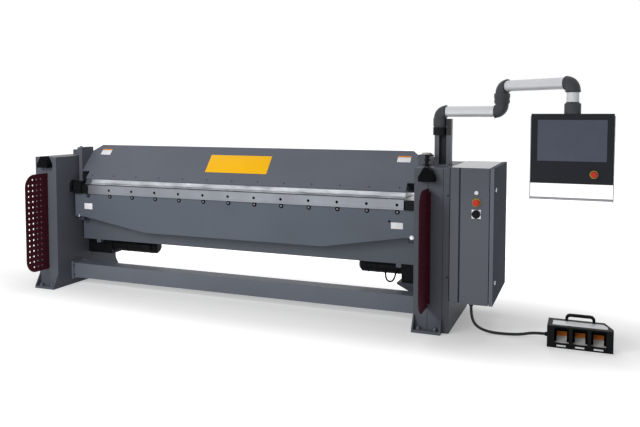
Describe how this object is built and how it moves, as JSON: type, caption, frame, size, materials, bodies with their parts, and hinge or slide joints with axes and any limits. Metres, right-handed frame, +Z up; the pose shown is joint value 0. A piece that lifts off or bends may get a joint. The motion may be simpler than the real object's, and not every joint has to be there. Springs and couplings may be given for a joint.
{
  "type": "motor driven sheet metal folding machine",
  "caption": "Floor standing folding machine for sheet metal, with a folding beam, a clamping beam, a control cabinet, a panel on a swing arm and a foot switch.",
  "frame": {"origin": "on the floor under the middle of the whole machine's box, foot switch included", "axes": "+X along the machine towards its cabinet, +Y from the operator's side to the back, +Z up"},
  "size_m": [4.995, 1.21, 1.879],
  "materials": {
    "paint": "satin powder coat, blue grey",
    "paint_dark": "satin powder coat, darker grey",
    "guard_red": "dark red powder coat",
    "ground_steel": "ground and polished",
    "black_iron": "black oxide and black enamel",
    "zinc": "zinc plated",
    "silver_tube": "silver anodised",
    "elbow_grey": "dark grey cast housing",
    "black_plastic": "fine grained",
    "screen_glass": "dark display",
    "stop_red": "red button",
    "lamp_white": "white lens",
    "plate_silver": "bare plate",
    "chrome": "polished",
    "pedal_orange": "orange and grey pedal",
    "black_rubber": "ribbed black conduit"
  },
  "bodies": {
    "frame": {"left_column": "paint_dark", "right_column": "paint_dark", "right_side_cover": "paint_dark", "base_rail": "paint", "lower_beam": "paint", "bed": "ground_steel", "pivot_bearings": "black_iron", "left_guard": "guard_red", "right_guard": "guard_red", "work_lamps": "black_plastic", "gear_motors": "black_iron", "motor_shelf": "zinc", "adjusting_screws": "zinc", "cabinet_shell": "paint", "pilot_lamp": "lamp_white", "cabinet_stop_collar": "chrome", "switch_plate": "plate_silver", "mast": "elbow_grey", "foot_switch_housing": "black_plastic", "foot_switch_handle": "black_plastic", "conduit_glands": "black_plastic", "foot_switch_conduit": "black_rubber"},
    "folding_beam": {"apron_plate": "paint", "apron_blade": "ground_steel", "pivot_ears": "black_iron", "drive_lugs": "black_iron"},
    "clamping_beam": {"clamp_blade": "ground_steel", "clamp_core": "paint_dark", "hood_plate": "paint", "left_clamp_guide": "paint_dark", "right_clamp_guide": "paint_dark", "lift_rods": "zinc"},
    "cabinet_door": {"cabinet_door": "paint_dark"},
    "main_switch": {"main_switch": "black_plastic"},
    "cabinet_stop": {"cabinet_stop_button": "stop_red"},
    "lower_arm": {"lower_arm_elbows": "elbow_grey", "lower_tube": "silver_tube"},
    "upper_arm": {"upper_arm_elbows": "elbow_grey", "upper_tube": "silver_tube"},
    "control_panel": {"drop_tube": "silver_tube", "panel_coupling": "elbow_grey", "panel_housing": "black_plastic", "screen": "screen_glass", "panel_handle": "chrome"},
    "panel_stop": {"panel_stop_button": "stop_red"},
    "pedal_1": {"pedal_1": "pedal_orange"},
    "pedal_2": {"pedal_2": "pedal_orange"},
    "pedal_3": {"pedal_3": "pedal_orange"}
  },
  "joints": [
    {"name": "fold", "type": "hinge", "parent": "frame", "child": "folding_beam", "pos_m": [-0.5725, -0.1, 0.957], "axis": [-1, 0, 0], "range_deg": [0, 135]},
    {"name": "clamp", "type": "slide", "parent": "frame", "child": "clamping_beam", "axis": [0, 0, 1], "range_m": [0, 0.1]},
    {"name": "door", "type": "hinge", "parent": "frame", "child": "cabinet_door", "pos_m": [1.6655, 0.468, 0.242], "axis": [0, 0, 1], "range_deg": [0, 110]},
    {"name": "switch", "type": "hinge", "parent": "frame", "child": "main_switch", "pos_m": [1.5715, -0.34, 0.906], "axis": [0, 1, 0], "range_deg": [0, 90]},
    {"name": "cabinet_stop_press", "type": "slide", "parent": "frame", "child": "cabinet_stop", "axis": [0, 1, 0], "range_m": [0, 0.004], "stiffness_N_per_m": 1500, "springref_m": -0.002},
    {"name": "lower_arm_swing", "type": "hinge", "parent": "frame", "child": "lower_arm", "pos_m": [1.2375, -0.01, 1.526], "axis": [0, 0, 1], "range_deg": [-60, 0]},
    {"name": "upper_arm_swing", "type": "hinge", "parent": "lower_arm", "child": "upper_arm", "pos_m": [1.71045, -0.09766, 1.741], "axis": [0, 0, 1], "range_deg": [-45, 0]},
    {"name": "panel_swivel", "type": "hinge", "parent": "upper_arm", "child": "control_panel", "pos_m": [2.20718, -0.45855, 1.77], "axis": [0, 0, 1], "range_deg": [-90, 90]},
    {"name": "panel_stop_press", "type": "slide", "parent": "control_panel", "child": "panel_stop", "axis": [0, 1, 0], "range_m": [0, 0.004], "stiffness_N_per_m": 1500, "springref_m": -0.002},
    {"name": "pedal_1_press", "type": "hinge", "parent": "frame", "child": "pedal_1", "pos_m": [2.1645, -0.304, 0.03], "axis": [-1, 0, 0], "range_deg": [0, 8], "stiffness_Nm_per_rad": 20, "springref_deg": -5.73},
    {"name": "pedal_2_press", "type": "hinge", "parent": "frame", "child": "pedal_2", "pos_m": [2.2845, -0.304, 0.03], "axis": [-1, 0, 0], "range_deg": [0, 8], "stiffness_Nm_per_rad": 20, "springref_deg": -5.73},
    {"name": "pedal_3_press", "type": "hinge", "parent": "frame", "child": "pedal_3", "pos_m": [2.4045, -0.304, 0.03], "axis": [-1, 0, 0], "range_deg": [0, 8], "stiffness_Nm_per_rad": 20, "springref_deg": -5.73}
  ]
}
